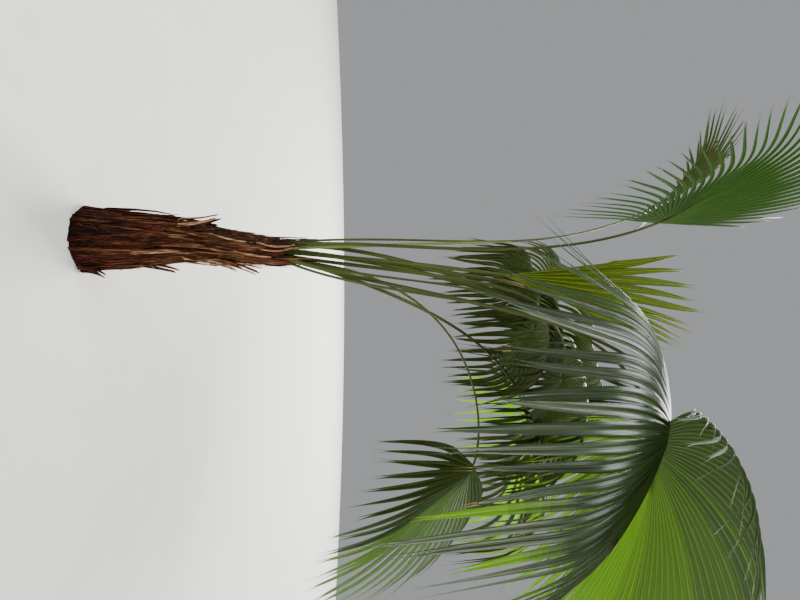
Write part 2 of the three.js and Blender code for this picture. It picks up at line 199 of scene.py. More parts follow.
# %% Quads over rings of points
def wall_quads(count, around):
    """Quads from each ring to the next."""
    step = np.arange(around)
    after = (step + 1) % around
    row = np.arange(count - 1)[:, None] * around
    corners = [row + step, row + after, row + around + after, row + around + step]
    return np.stack(corners, axis=-1).reshape(-1, 4)


def lid_quads(around):
    """Quads straight across one ring."""
    half = np.arange(around // 2 - 1)
    return np.stack([half, half + 1, around - 2 - half, around - 1 - half], axis=-1)


def tube_quads(count, around):
    """The wall of a tube, then a lid over its first ring and one over its last."""
    lid = lid_quads(around)
    return np.concatenate([wall_quads(count, around), lid[:, ::-1], (count - 1) * around + lid])


def run_along(lines):
    """Metres along each line of points, where the lines run on the second axis."""
    return np.linalg.norm(np.diff(lines, axis=1, prepend=lines[:, :1]), axis=-1).cumsum(1)


def tube_piece(name, rings, material):
    """A tube's mesh object. Its map has the metres round the tube and those along its middle."""
    quads = tube_quads(*rings.shape[:2])
    along = run_along(rings.mean(1)[None])[0]
    place = np.stack(np.broadcast_arrays(run_along(rings), along[:, None]), axis=-1)
    uv = place.reshape(-1, 2)[quads.ravel()]
    return mesh_object(name, rings.reshape(-1, 3), quads, [material], uv=uv)


# %% The ribbon skin
TOP = 0
BELOW = 1
EDGE = 2


def ribbons(centre, half_thickness):
    """Closed shells over many ribbons at once.

    centre holds a point for each ribbon, row along it and column across it. half_thickness is a
    vector at each, from the middle sheet to the top. The ring of a row is its top columns one way
    and its bottom columns back, so a ribbon is a flat tube. Returns points, quads, and for each
    quad its ribbon, its row and its side, where the ends count as edges."""
    count, rows, columns = centre.shape[:3]
    ring = 2 * columns
    bottom = (centre - half_thickness)[:, :, ::-1]
    points = np.concatenate([centre + half_thickness, bottom], axis=2).reshape(-1, 3)
    one = tube_quads(rows, ring)
    quads = (one + np.arange(count)[:, None, None] * rows * ring).reshape(-1, 4)

    side = np.full(ring, EDGE)
    side[:columns - 1] = TOP
    side[columns:ring - 1] = BELOW
    ends = columns - 1
    side_of = np.concatenate([np.tile(side, rows - 1), np.full(2 * ends, EDGE)])
    row_of = np.concatenate([np.repeat(np.arange(rows - 1), ring), np.repeat([0, rows - 2], ends)])
    ribbon_of = np.repeat(np.arange(count), len(one))
    return points, quads, ribbon_of, np.tile(row_of, count), np.tile(side_of, count)


def ribbon_uv(across, along, quads):
    """A place for each quad corner: metres across the ribbon, and metres along it."""
    place = np.stack(np.broadcast_arrays(across, along), axis=-1)
    both = np.concatenate([place, place[:, :, ::-1]], axis=2).reshape(-1, 2)
    return both[quads.ravel()]


# %% [markdown]
# ## Finishes
# The leaf is leathery, with a satin sheen above, paler and duller below, and it lets some light
# through, so a fan with the light behind it glows yellow-green. Its veins run along the segment,
# so they are drawn on the piece's own map. Bark and dry fibre are streaked along their length.

# %% Node helpers
def feed(tree, node, inputs):
    """The node, each of its named inputs linked to a socket or set to a plain value."""
    for name, value in inputs.items():
        socket = node.inputs[name]
        if isinstance(value, bpy.types.NodeSocket):
            tree.links.new(value, socket)
        else:
            socket.default_value = (*value, 1) if socket.type == "RGBA" else value
    return node


def add(tree, kind, inputs):
    """A new shader node with its inputs fed."""
    return feed(tree, tree.nodes.new(kind), inputs)


def new_material(name):
    """An empty material, its nodes and links, and its Principled shader."""
    material = bpy.data.materials.new(name)
    material.use_nodes = True
    tree = material.node_tree
    return material, tree, tree.nodes["Principled BSDF"]


def stretched_noise(tree, source, scale, detail=3.0, roughness=0.55):
    """Noise on the given coordinates, stretched by a different scale on each axis."""
    place = add(tree, "ShaderNodeTexCoord", {}).outputs[source]
    mapped = add(tree, "ShaderNodeMapping", {"Vector": place, "Scale": scale}).outputs["Vector"]
    look = {"Vector": mapped, "Scale": 1.0, "Detail": detail, "Roughness": roughness}
    return add(tree, "ShaderNodeTexNoise", look).outputs["Fac"]


def ramp(tree, factor, stops):
    """A colour for each value: stops are (place, (red, green, blue))."""
    node = add(tree, "ShaderNodeValToRGB", {"Fac": factor})
    band = node.color_ramp
    while len(band.elements) < len(stops):
        band.elements.new(0.5)
    for element, (place, colour) in zip(band.elements, stops):
        element.position = place
        element.color = (*colour, 1)
    return node.outputs["Color"]


def bump(tree, height, distance, **others):
    """A surface normal from a height, in metres, with a strength or a normal to lie over."""
    inputs = {"Height": height, "Distance": distance, "Strength": 1.0, **others}
    return add(tree, "ShaderNodeBump", inputs).outputs["Normal"]


def mixed_colour(tree, factor, first, second):
    """The first colour, given way to the second one where the factor is 1."""
    mix = tree.nodes.new("ShaderNodeMix")
    mix.data_type = "RGBA"
    return feed(tree, mix, {"Factor": factor, "A": first, "B": second}).outputs["Result"]


def coordinate(tree, source, axis):
    """One axis of the given coordinates."""
    place = add(tree, "ShaderNodeTexCoord", {}).outputs[source]
    return add(tree, "ShaderNodeSeparateXYZ", {"Vector": place}).outputs[axis]


# %% Leaf finishes
VEIN_SCALE = (420.0, 5.0, 1.0)
VEIN_DEPTH = 0.0008
STREAK_SCALE = (110.0, 1.2, 1.0)
STREAK_DEPTH = 0.0045
RIB_HALF_WIDTH = (0.0011, 0.0026)
RIB_GAIN = 1.3
RIB_LIFT = 0.16


def near_fold(tree):
    """1 on a segment's fold and 0 away from it, from the map's own metres across."""
    across = coordinate(tree, "UV", "X")
    distance = tree.nodes.new("ShaderNodeMath")
    distance.operation = "ABSOLUTE"
    tree.links.new(across, distance.inputs[0])
    fade = {"Value": distance.outputs["Value"], "From Min": RIB_HALF_WIDTH[0],
            "From Max": RIB_HALF_WIDTH[1], "To Min": 1.0, "To Max": 0.0}
    return add(tree, "ShaderNodeMapRange", fade).outputs["Result"]


def leaf_material(name, dark, light, rib, through, share, roughness, gloss):
    """Leaf: green streaked lengthwise under fine veins, with a pale rib on the fold. share of the
    light passes through, tinted by the colour through, and the rest is reflected."""
    material, tree, shader = new_material(name)
    streak = stretched_noise(tree, "UV", STREAK_SCALE)
    veins = stretched_noise(tree, "UV", VEIN_SCALE, detail=2.0)
    relief = bump(tree, streak, STREAK_DEPTH, Normal=bump(tree, veins, VEIN_DEPTH))
    fold = near_fold(tree)
    green = ramp(tree, streak, [(0.38, dark), (0.62, light)])
    feed(tree, shader, {"Base Color": mixed_colour(tree, fold, green, rib), "Normal": relief,
                        "Roughness": roughness, "Specular IOR Level": gloss})
    pale = tuple(min(1.0, value * RIB_GAIN + RIB_LIFT) for value in through)
    tinted = mixed_colour(tree, fold, through, pale)
    glow = add(tree, "ShaderNodeBsdfTranslucent", {"Color": tinted, "Normal": relief})
    both = {"Fac": share, 1: shader.outputs["BSDF"], 2: glow.outputs["BSDF"]}
    mix = add(tree, "ShaderNodeMixShader", both)
    tree.links.new(mix.outputs["Shader"], tree.nodes["Material Output"].inputs["Surface"])
    return material


# Each tint has an upper and an under face: two base greens, the rib, the light let through, how
# much of it, the roughness and the strength of the gloss
LEAF_TINTS = {
    "deep_upper": (
        (0.010, 0.020, 0.007), (0.046, 0.069, 0.027), (0.08, 0.12, 0.05), (0.10, 0.15, 0.01),
        0.18, 0.30, 0.60),
    "deep_under": (
        (0.026, 0.042, 0.012), (0.040, 0.060, 0.016), (0.08, 0.12, 0.03), (0.12, 0.18, 0.01),
        0.30, 0.50, 0.25),
    "green_upper": (
        (0.024, 0.056, 0.010), (0.040, 0.082, 0.014), (0.08, 0.15, 0.03), (0.10, 0.26, 0.02),
        0.32, 0.36, 0.40),
    "green_under": (
        (0.032, 0.072, 0.010), (0.050, 0.100, 0.016), (0.11, 0.19, 0.04), (0.12, 0.31, 0.02),
        0.40, 0.48, 0.25),
    "olive_upper": (
        (0.022, 0.038, 0.005), (0.036, 0.056, 0.008), (0.07, 0.10, 0.02), (0.14, 0.19, 0.01),
        0.30, 0.42, 0.25),
    "olive_under": (
        (0.026, 0.044, 0.005), (0.042, 0.064, 0.008), (0.08, 0.11, 0.02), (0.16, 0.21, 0.01),
        0.36, 0.55, 0.20),
    "muted_upper": (
        (0.052, 0.078, 0.044), (0.084, 0.120, 0.066), (0.24, 0.31, 0.17), (0.22, 0.30, 0.13),
        0.40, 0.36, 0.40),
    "muted_under": (
        (0.054, 0.082, 0.042), (0.086, 0.124, 0.064), (0.26, 0.33, 0.17), (0.23, 0.31, 0.14),
        0.42, 0.46, 0.25),
    # bright: a yellow-green whose base colour is raised as painted light for segments lit from
    # behind, besides the larger share of light it lets through
    "bright_upper": (
        (0.078, 0.154, 0.014), (0.116, 0.206, 0.020), (0.22, 0.32, 0.06), (0.50, 0.86, 0.03),
        0.50, 0.36, 0.35),
    "bright_under": (
        (0.084, 0.160, 0.014), (0.124, 0.214, 0.020), (0.25, 0.35, 0.07), (0.52, 0.89, 0.03),
        0.52, 0.46, 0.20),
    "young_upper": (
        (0.050, 0.078, 0.003), (0.084, 0.118, 0.005), (0.26, 0.33, 0.05), (0.20, 0.28, 0.01),
        0.34, 0.40, 0.20),
    "young_under": (
        (0.054, 0.084, 0.003), (0.090, 0.124, 0.005), (0.28, 0.35, 0.05), (0.22, 0.30, 0.01),
        0.36, 0.46, 0.15),
}


def blended(first, second, share):
    """A tint part of the way from one to another, value by value."""
    return [between(np.array(ends), share) for ends in zip(first, second)]


# Tints between two others, as painted light: a leaf with the light behind it is painted from bright
# to muted in steps, and a strap that hangs in that light is painted from deep to bright
BACKLIT_STEPS = 8
GLOW_STEPS = 6
# The third blend, between deep and muted, is a painted grey sheen on the front fan's straps
BLENDS = {"dusky": ("muted", "olive", 0.5), "deep_green": ("deep", "green", 0.5),
          "painted_sheen": ("deep", "muted", 0.6)}
for step in range(BACKLIT_STEPS + 1):
    BLENDS[f"lit{step}"] = ("bright", "muted", step / BACKLIT_STEPS)
for step in range(GLOW_STEPS):
    BLENDS[f"glow{step}"] = ("deep", "bright", (step + 1) / GLOW_STEPS)
for name, (first, second, share) in BLENDS.items():
    for face in ("upper", "under"):
        ends = LEAF_TINTS[f"{first}_{face}"], LEAF_TINTS[f"{second}_{face}"]
        LEAF_TINTS[f"{name}_{face}"] = blended(*ends, share)
LEAF = {key: leaf_material(f"leaf_{key}", *values) for key, values in LEAF_TINTS.items()}


def both_faces(tints):
    """The finishes of the upper and the under face of each tint."""
    return [LEAF[f"{tint}_{face}"] for tint in tints for face in ("upper", "under")]


def dry_material():
    """Dry leaf tip: straw and brown, streaked along the segment."""
    material, tree, shader = new_material("leaf_dry_tip")
    streak = stretched_noise(tree, "UV", (160.0, 14.0, 1.0))
    colour = ramp(tree, streak, [(0.3, (0.16, 0.08, 0.03)), (0.65, (0.42, 0.27, 0.11))])
    feed(tree, shader, {"Base Color": colour, "Roughness": 0.8})
    return material


DRY = dry_material()


# %% Stalk and spear finish
def stalk_material(name, dark, light):
    """Leaf stalk: smooth green with pale lengthwise streaks and a waxy gloss."""
    material, tree, shader = new_material(name)
    streak = stretched_noise(tree, "UV", (240.0, 2.5, 1.0))
    colour = ramp(tree, streak, [(0.32, dark), (0.68, light)])
    feed(tree, shader, {"Base Color": colour, "Normal": bump(tree, streak, 0.0008, Strength=0.5),
                        "Roughness": 0.65, "Specular IOR Level": 0.2})
    return material


STALK = stalk_material("stalk_green", (0.016, 0.022, 0.004), (0.085, 0.105, 0.018))
SPEAR = stalk_material("spear_green", (0.10, 0.15, 0.03), (0.21, 0.27, 0.08))


# %% Bark finishes
# Painted shade: every bark, base and fibre colour is darkened towards the ground
FOOT_SHADE_TOP = 0.42
FOOT_SHADE_COLOUR = (0.42, 0.25, 0.20)


def painted_foot_shade(tree, colour):
    """The colour times a painted shade, darkest at the ground and gone at the shade's top height.
    """
    height = coordinate(tree, "Object", "Z")
    shade = ramp(tree, height, [(0.0, FOOT_SHADE_COLOUR), (FOOT_SHADE_TOP, (1, 1, 1))])
    mix = add(tree, "ShaderNodeMixRGB", {"Fac": 1.0, "Color1": colour, "Color2": shade})
    mix.blend_type = "MULTIPLY"
    return mix.outputs["Color"]


def bark_material(name, scale, stops, depth):
    """Bark or old leaf base: brown, streaked along its length, dull, with a fibrous relief."""
    material, tree, shader = new_material(name)
    streak = stretched_noise(tree, "Object", scale, detail=5.0, roughness=0.62)
    colour = painted_foot_shade(tree, ramp(tree, streak, stops))
    feed(tree, shader, {"Base Color": colour, "Normal": bump(tree, streak, depth),
                        "Roughness": 0.9, "Specular IOR Level": 0.12})
    return material


# The core is dark bark, made near black as painted shade so the gaps between the old bases read
# dark
CORE_BARK_AND_SHADE = bark_material(
    "bark_core_and_shade", (95.0, 95.0, 9.0),
    [(0.28, (0.006, 0.003, 0.002)), (0.5, (0.026, 0.011, 0.006)), (0.72, (0.08, 0.035, 0.018))],
    0.006)
BASE_STOPS = {
    "dark": ((0.004, 0.0015, 0.001), (0.020, 0.007, 0.004), (0.070, 0.026, 0.013)),
    "red": ((0.009, 0.002, 0.001), (0.050, 0.012, 0.005), (0.20, 0.058, 0.023)),
    "brown": ((0.018, 0.007, 0.003), (0.080, 0.029, 0.012), (0.28, 0.130, 0.055)),
    "tan": ((0.060, 0.026, 0.012), (0.220, 0.110, 0.052), (0.58, 0.370, 0.210)),
}
BASE_TONES = list(BASE_STOPS)
BASE_PLACES = (0.36, 0.5, 0.68)
BASES = [
    bark_material(f"leaf_base_{tone}", (150.0, 150.0, 7.0), list(zip(BASE_PLACES, stops)), 0.003)
    for tone, stops in BASE_STOPS.items()
]
# The share of each tone, dark to tan, on the trunk's shaded side and on its lit side: painted shade
# and painted light
SHADE_SIDE_SHARES = np.array([0.60, 0.36, 0.04, 0.0])
LIT_SIDE_SHARES = np.array([0.18, 0.36, 0.32, 0.14])
FIBRE = bark_material(
    "fibre_brown", (60.0, 60.0, 20.0),
    [(0.3, (0.035, 0.014, 0.008)), (0.55, (0.12, 0.052, 0.026)), (0.75, (0.28, 0.16, 0.08))],
    0.001)
print("materials", len(bpy.data.materials))

# %% [markdown]
# ## The plan of the plant
# These are the plant's own sizes, in metres and degrees, as its plain pieces have them: the trunk's
# profile, the places of old leaf bases, and for each leaf where stalk and blade meet, how the
# midrib points, and how its rays spread and droop.

# %% Trunk sizes
TRUNK_HEIGHTS = np.array([0.0, 0.11, 0.25, 0.35, 0.45, 0.55, 0.65, 0.78, 0.93])
TRUNK_RADII = np.array([0.145, 0.127, 0.119, 0.107, 0.090, 0.080, 0.070, 0.064, 0.060])
TRUNK_TOP = TRUNK_HEIGHTS[-1]
LEAN_FROM = 0.38
LEAN_SHIFT = 0.055

# Old leaf bases follow each other round the trunk by this turn
BOOT_TURN = 137.5

# Broken stubs and large plates: turn, foot height, length, width, how far the tip stands off, tone
STUBS = [
    (218, 0.430, 0.240, 0.058, 0.086, "brown"),
    (268, 0.380, 0.230, 0.080, 0.010, "red"),
    (332, 0.455, 0.190, 0.040, 0.022, "tan"),
    (338, 0.560, 0.175, 0.034, 0.036, "brown"),
    (350, 0.640, 0.180, 0.032, 0.046, "brown"),
    (334, 0.265, 0.205, 0.030, 0.074, "dark"),
    (334, 0.004, 0.135, 0.052, 0.062, "red"),
    (250, 0.120, 0.430, 0.090, 0.018, "red"),
    (314, 0.070, 0.520, 0.110, 0.018, "red"),
    (212, 0.050, 0.400, 0.120, 0.012, "dark"),
    (284, 0.500, 0.300, 0.060, 0.012, "dark"),
    (252, 0.800, 0.215, 0.026, 0.006, "tan"),
]

# %% Leaf sizes
OUTER_RING = 0.043
INNER_RING = 0.024
# spread is the angle from the midrib to the last ray; roll and fold turn the fan and lift its
# halves; reach is the longest ray, and shorten how much shorter the last rays are. split is the
# joined share of a ray; parted, side_split and widen say where its segments part and how wide
# they open. Droops are shares of the way to straight down. ring, foot_pull and head_pull shape
# the stalk. pleat, ragged, sag and zigzag vary the segments. tints gives a finish from each place
# across, -1 to 1, and glow the places between which a share of the segments catches the light.
COMMON = dict(
    roll=0, reach=1.05, spread=150, fold=10, midrib=0.18, midrib_droop=20, shorten=0.35,
    split=0.45, parted=1.0, side_split=(0.25, 0.25), widen=1.0, segments=60, curl=0,
    inner_droop=0.08, outer_droop=0.75, droop_peak=0, side_droop=(0, 0), droop_width=0.35,
    ring=OUTER_RING, foot_pull=0.35, head_pull=0.35, pleat=1.0, ragged=0.2, sag=0.06, zigzag=0,
    tints=[(-1.0, "olive")], glow=(0, 0, 0),
)


def leaf(name, at, turn, rise, ring_turn, lean, **own):
    """One leaf's plan: the common sizes with its own put over them."""
    place = dict(name=name, at=at, turn=turn, rise=rise, ring_turn=ring_turn, lean=lean)
    return SimpleNamespace(**{**COMMON, **place, **own})


# Painted light: the lit, glow and bright tints below stand for the light behind the fans
LEAVES = [
    leaf("front", (0.735, -0.400, 2.545), 312, -10, 312, (340, 70), roll=6, reach=1.58, fold=-6,
         split=0.34, side_split=(0.6, 0.6), widen=1.22, segments=48, inner_droop=0.27,
         outer_droop=0.88, droop_peak=0.3, side_droop=(-1.2, -0.9), droop_width=0.3,
         midrib_droop=24, shorten=0.28, foot_pull=0.3, head_pull=0.3, pleat=0.3, ragged=0.35,
         sag=0.09, glow=(-0.25, 0.3, 0.4),
         # Its second tint is a painted grey sheen
         tints=[(-1.0, "deep"), (-0.4, "painted_sheen"), (0.05, "deep"), (0.6, "deep_green")]),
    leaf("right_high", (0.815, -0.450, 2.460), 350, 5, 347, (345, 66), roll=-20, reach=1.40,
         spread=124, fold=3, split=0.6, parted=0.85, side_split=(0.7, 0), segments=72,
         inner_droop=0.22, outer_droop=0.4, side_droop=(0.4, 0.3), curl=0.45, shorten=0.6,
         pleat=0.8, sag=0.2,
         tints=[(-1.1 + 0.2 * step, f"lit{step}") for step in range(BACKLIT_STEPS + 1)]),
    leaf("left_front", (-0.040, -0.300, 2.540), 158, 67, 225, (225, 86), roll=34, reach=1.15,
         spread=84, fold=2, inner_droop=0.04, outer_droop=0.20, side_droop=(0.2, 0.5),
         midrib_droop=8, shorten=0.3, segments=40, parted=0.7, tints=[(-1.0, "green")]),
    leaf("young", (0.157, 0.150, 1.972), 20, 81, 45, (30, 84), roll=70, reach=1.12, spread=15,
         fold=2, split=0.6, side_split=(0.1, 0.1), segments=11, inner_droop=0, outer_droop=0.04,
         midrib=0.04, midrib_droop=5, shorten=0.14, ring=0, zigzag=0.8, tints=[(-1.0, "young")]),
    leaf("right_low", (1.090, 0.150, 1.830), 336, -30, 22, (60, 84), roll=22, reach=1.06,
         spread=86, fold=0, split=0.38, side_split=(-0.3, 0), segments=30, inner_droop=0.03,
         outer_droop=0.45, side_droop=(-0.12, 0.5), droop_width=0.6, shorten=0.2, foot_pull=0.75,
         head_pull=0.1, tints=[(-1.0, "dusky"), (-0.7, "lit7"), (-0.35, "lit6"), (0.0, "lit5"),
                               (0.3, "dusky"), (0.6, "olive")]),
    leaf("middle", (0.605, 0.200, 2.290), 30, 5, 345, (20, 70), reach=1.0, outer_droop=0.9,
         droop_width=0.5, ring=INNER_RING, segments=56),
    leaf("back_right", (0.375, 0.350, 2.194), 50, 0, 45, (55, 75), reach=0.9, split=0.34,
         outer_droop=0.95, droop_width=0.4, ring=INNER_RING, head_pull=0.2, segments=38),
    leaf("back", (0.200, 0.600, 2.190), 95, -5, 95, (80, 72), reach=0.85, spread=130, split=0.26,
         outer_droop=0.97, droop_width=0.3, foot_pull=0.4, segments=32),
    leaf("right_back", (1.000, 0.650, 2.200), 30, 12, 58, (42, 68), reach=1.30, split=0.36,
         outer_droop=0.96, droop_width=0.5,
         tints=[(-1.0, "olive"), (-0.6, "bright"), (-0.35, "olive"), (-0.1, "bright"),
                (0.1, "olive"), (0.3, "bright"), (0.5, "olive")]),
    leaf("back_high", (0.600, 0.850, 2.640), 70, 15, 105, (75, 76), reach=1.0, outer_droop=0.8,
         droop_width=0.45, ring=INNER_RING, segments=56),
    leaf("left_back", (0.350, 1.350, 2.550), 100, 8, 135, (100, 74), spread=120, reach=0.95,
         outer_droop=0.85, droop_width=0.5, segments=50),
    leaf("left_high", (-0.240, 0.700, 2.900), 170, 66, 180, (160, 85), reach=0.9, spread=70,
         outer_droop=0.25, shorten=0.2, segments=34),
]
BLADE_START = 0.040
FOOT_GAP = 0.0003
print("leaves", len(LEAVES))


# %% [markdown]
# ## The trunk
# A palm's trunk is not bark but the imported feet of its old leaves. The core is a surface of two
# parameters, the angle round the trunk and the height, whose radius follows the profile and is
# roughened by noise that is stretched along the trunk. It is made as displaced geometry, because a
# bump alone would leave a smooth outline.

# %% The trunk's profile
def trunk_radius(height):
    """The plain radius at a height, straight between the profile's stations."""
    return np.interp(height, TRUNK_HEIGHTS, TRUNK_RADII)


def trunk_centre(height):
    """The middle of the trunk at a height: it bends towards +X by an ease from the lean's start."""
    shift = LEAN_SHIFT * smooth((height - LEAN_FROM) / (TRUNK_TOP - LEAN_FROM))
    return np.stack([shift, np.zeros_like(shift), height], axis=-1)


LOBES = 5
LOBE_DEPTH = 0.009
RIDGE_SCALE = (11, 11, 7)
RIDGE_DEPTH = 0.0055
PLAIN_ENDS = 0.02
CORE_INSET = 0.003
LID_SHARES = (0.02, 0.5)


def trunk_core(around=200, rows=190):
    """The core's rings: centre(height) + (radius(height) + lobes + ridges) out(angle), with two
    smaller rings at the foot and two at the top that leave its flat ends almost closed."""
    a, h = np.meshgrid(full_turn(around), np.linspace(0, TRUNK_TOP, rows))
    out = level_out(a)
    lobes = LOBE_DEPTH * (1 - smooth(h / LEAN_FROM)) * (np.cos(LOBES * a) - 1) / 2
    places = np.concatenate([out[..., :2], h[..., None]], axis=-1) * RIDGE_SCALE
    ends = smooth(h / PLAIN_ENDS) * smooth((TRUNK_TOP - h) / PLAIN_ENDS)
    ridges = RIDGE_DEPTH * layered(places, 4) * ends
    radius = trunk_radius(h) + lobes + ridges - CORE_INSET
    wall = trunk_centre(h) + out * radius[..., None]
    foot, top = trunk_centre(np.array([0.0, TRUNK_TOP]))
    lids = [foot + (wall[0] - foot) * share for share in LID_SHARES]
    caps = [top + (wall[-1] - top) * share for share in LID_SHARES[::-1]]
    return np.stack(lids + list(wall) + caps)


rings = trunk_core()
core = mesh_object("trunk_core", rings.reshape(-1, 3), tube_quads(*rings.shape[:2]), [CORE_BARK_AND_SHADE])
finish_piece(core, "bark", "trunk")


# %% [markdown]
# ## Old leaf bases
# Each fallen leaf leaves its foot on the trunk: a long plate that hugs it at the bottom and stands
# off at its ragged top. A plate could be one curved sheet, but then its splits would have to be
# painted. Here each one is a row of narrow ribbons side by side, so every groove and torn end is
# real geometry, and the raised rims can have a lighter finish than the middle.

# %% Ribbons on the trunk
def trunk_ribbons(angle, height, away, half, thick, lean=0.0, arch=0.0, columns=3):
    """Ribbons that climb the trunk, their middle lines away from its own middle at an angle and a
    height. A column's point is off its line by side times half width times column, from -1 to 1,
    and the middle is raised by the arch. The lean turns a ribbon about its line."""
    middle = trunk_centre(height) + level_out(angle) * away[..., None]
    out = level_out(angle - lean)[:, :, None]
    side = level_out(angle - lean + np.pi / 2)[:, :, None]
    column = np.linspace(-1, 1, columns)
    wide = (half[..., None] * column)[..., None]
    high = (arch * half[..., None] * (1 - np.abs(column)))[..., None]
    centre = middle[:, :, None] + side * wide + out * high
    return centre, out * np.reshape(thick, (-1, 1, 1))


# %% Old leaf bases as strips
STRIP_ROWS = 28
STRIP_WIDTHS = (0.006, 0.009, 0.013)
SKIN_DEPTH = 0.008
SKIN_LIFT = 0.002
GROOVE = 0.0024
COMES_OUT_BY = 0.2
PLATE_NARROWS = 0.56
SIDES_SHORTER = 0.32
TORN_SHORTER = 0.20
RIM_LIFT = 0.011
TIP_CURL = 0.0035
TIP_SWAY = 0.0022
PLATE_BOW = 0.006
STRIP_WAVE = 0.0012
STRIP_LEAN = 0.14
RIM_LEAN = 0.6
POINT_FROM = (0.80, 0.96)
STRIP_SPREAD = (0.92, 1.16)
STRIP_ARCH = 0.30
STRIP_THICK = 0.0026
STRIP_THINNING = 0.0012
RIM_FROM = 0.78
RIM_LIGHT = 0.5
SAME_TONE = 0.78
LIGHT_TURN = 335
LOW_BASES = 0.12


def base_strips(turn, foot, length, width, standoff, random, sturdy=1.0, emerged=0.0, own=None):
    """The ribbons of one old leaf base, and a tone for each.

    A strip starts under the trunk's skin, comes out over the first fifth of its way, and then
    stands off by the standoff times the square of its share. The plate narrows upwards, its rims
    are lifted by the fourth power of the place across, and each strip ends in a point of its own.
    A sturdy one is thicker, tears less and bends out sooner."""
    strips = max(4, int(width / random.choice(STRIP_WIDTHS)))
    across = np.linspace(-1, 1, strips)
    torn = 1 / sturdy ** 3
    reach = 1 - SIDES_SHORTER * torn * np.abs(across) ** 1.6
    reach = reach - TORN_SHORTER * torn * random.random(strips) ** 3
    across = across[:, None]
    share = np.linspace(0, 1, STRIP_ROWS)
    whole = reach[:, None] * share
    height = foot + length * whole
    spread = (width / 2) * (1 - PLATE_NARROWS * whole ** 1.25)
    out_of_skin = smooth(np.clip(share / COMES_OUT_BY + emerged, 0, 1))
    groove = random.uniform(-GROOVE, GROOVE, strips)[:, None]
    skin = -SKIN_DEPTH + (SKIN_DEPTH + SKIN_LIFT + groove) * out_of_skin
    rim = RIM_LIFT * sturdy * (across ** 4 - 0.25) * out_of_skin
    bend = 2.0 if sturdy == 1.0 else 1.5
    lift = standoff * whole ** bend * random.uniform(1 - 0.12 * torn, 1, strips)[:, None]
    curl = TIP_CURL * torn * random.normal(0, 1, strips)[:, None] * share ** 4
    seeds = random.uniform(0, 50, strips)[:, None]
    wave = STRIP_WAVE * noise(np.stack(np.broadcast_arrays(seeds, height * 18, 0), axis=-1))
    away = trunk_radius(np.minimum(height, TRUNK_TOP)) + skin + rim + lift + curl + wave
    sway = TIP_SWAY * torn * random.normal(0, 1, strips)[:, None] * share ** 3
    bow = random.normal(0, PLATE_BOW) * np.sin(np.pi * whole)
    angle = np.radians(turn) + (across * spread + sway + bow) / np.maximum(away, 0.05)
    lean = STRIP_LEAN * torn * random.normal(0, 1, strips)[:, None] - RIM_LEAN * across ** 3
    point_from = random.uniform(*POINT_FROM, strips)[:, None]
    narrow = 1 - 0.9 * smooth((share - point_from) / (1 - point_from))
    half = spread / strips * random.uniform(*STRIP_SPREAD, strips)[:, None] * narrow
    thick = sturdy * (STRIP_THICK - STRIP_THINNING * share)

    # Painted light and shade: a base turned towards the light's turn, and higher up, draws lighter
    # tones; one turned away or near the ground draws darker ones, and on the lit side a rim may
    # step one tone lighter still
    lit = (0.5 + 0.5 * np.cos(np.radians(turn - LIGHT_TURN))) * smooth((foot + 0.06) / 0.3)
    shares = (1 - lit) * SHADE_SIDE_SHARES + lit * LIT_SIDE_SHARES
    drawn = random.choice(len(BASES), p=shares)
    own = drawn if own is None else BASE_TONES.index(own)
    odd = random.choice(len(BASES), strips, p=shares)
    tone = np.where(random.random(strips) < SAME_TONE, own, odd)
    lighter = own + 1 + (random.random(strips) < RIM_LIGHT * lit)
    lightest = BASE_TONES.index("brown" if foot < LOW_BASES else "tan")
    tone = np.where(np.abs(across[:, 0]) > RIM_FROM, np.minimum(lighter, lightest), tone)
    return *trunk_ribbons(angle, height, away, half, thick, lean, STRIP_ARCH), tone


GROUND_BASES = 7
FINE_BASES = 19
SHEATH_STRIPS = 70
GROUND_GAP = 0.002


def all_bases(random):
    """A ring of bases at the ground, the spiral of bases above it, and the broken stubs."""
    parts = []
    for count in range(GROUND_BASES):
        turn = 360 * count / GROUND_BASES + random.uniform(-14, 14)
        parts.append(base_strips(turn, GROUND_GAP, random.uniform(0.26, 0.42),
                                 random.uniform(0.105, 0.150), random.uniform(0.004, 0.014),
                                 random, emerged=0.7))
    for count in range(FINE_BASES):
        share = count / (FINE_BASES - 1)
        foot = 0.03 + 0.66 * share
        width = float(trunk_radius(foot)) * random.uniform(0.85, 1.25)
        length = random.uniform(0.32, 0.48) - 0.16 * share
        parts.append(base_strips(count * BOOT_TURN, foot, length, width,
                                 random.uniform(0.006, 0.024), random))
    for turn, foot, length, width, standoff, own in STUBS:
        parts.append(base_strips(turn, foot, length, width, standoff, random, sturdy=1.6, own=own))
    return parts


SHEATH_FEET = (0.72, 0.86)
SHEATH_TOP = 0.93
SHEATH_CLIMB = 0.16
SHEATH_HALF_WIDTHS = (0.0022, 0.0052)
SHEATH_THICK = 0.0012


def sheath(count, random):
    """Strips round the trunk's top that climb past it and close in on the stalks."""
    share = np.linspace(0, 1, STRIP_ROWS)
    turn = full_turn(count) + random.normal(0, 0.08, count)
    foot = random.uniform(*SHEATH_FEET, count)[:, None]
    top = (SHEATH_TOP + SHEATH_CLIMB * random.random(count) ** 2)[:, None]
    height = foot + (top - foot) * share
    away = TRUNK_RADII[-1] + 0.007 * smooth(share / 0.3) - 0.010 * share ** 2
    away = away + random.normal(0, 0.006, count)[:, None] * share
    angle = turn[:, None] + random.normal(0, 0.10, count)[:, None] * share
    half = random.uniform(*SHEATH_HALF_WIDTHS, count)[:, None] * (1 - 0.85 * share ** 2.5)
    # The sheath draws its tones from the darker mix of the trunk's painted-shade side
    tone = random.choice(len(BASES), count, p=SHADE_SIDE_SHARES)
    return *trunk_ribbons(angle, height, away, half, SHEATH_THICK), tone


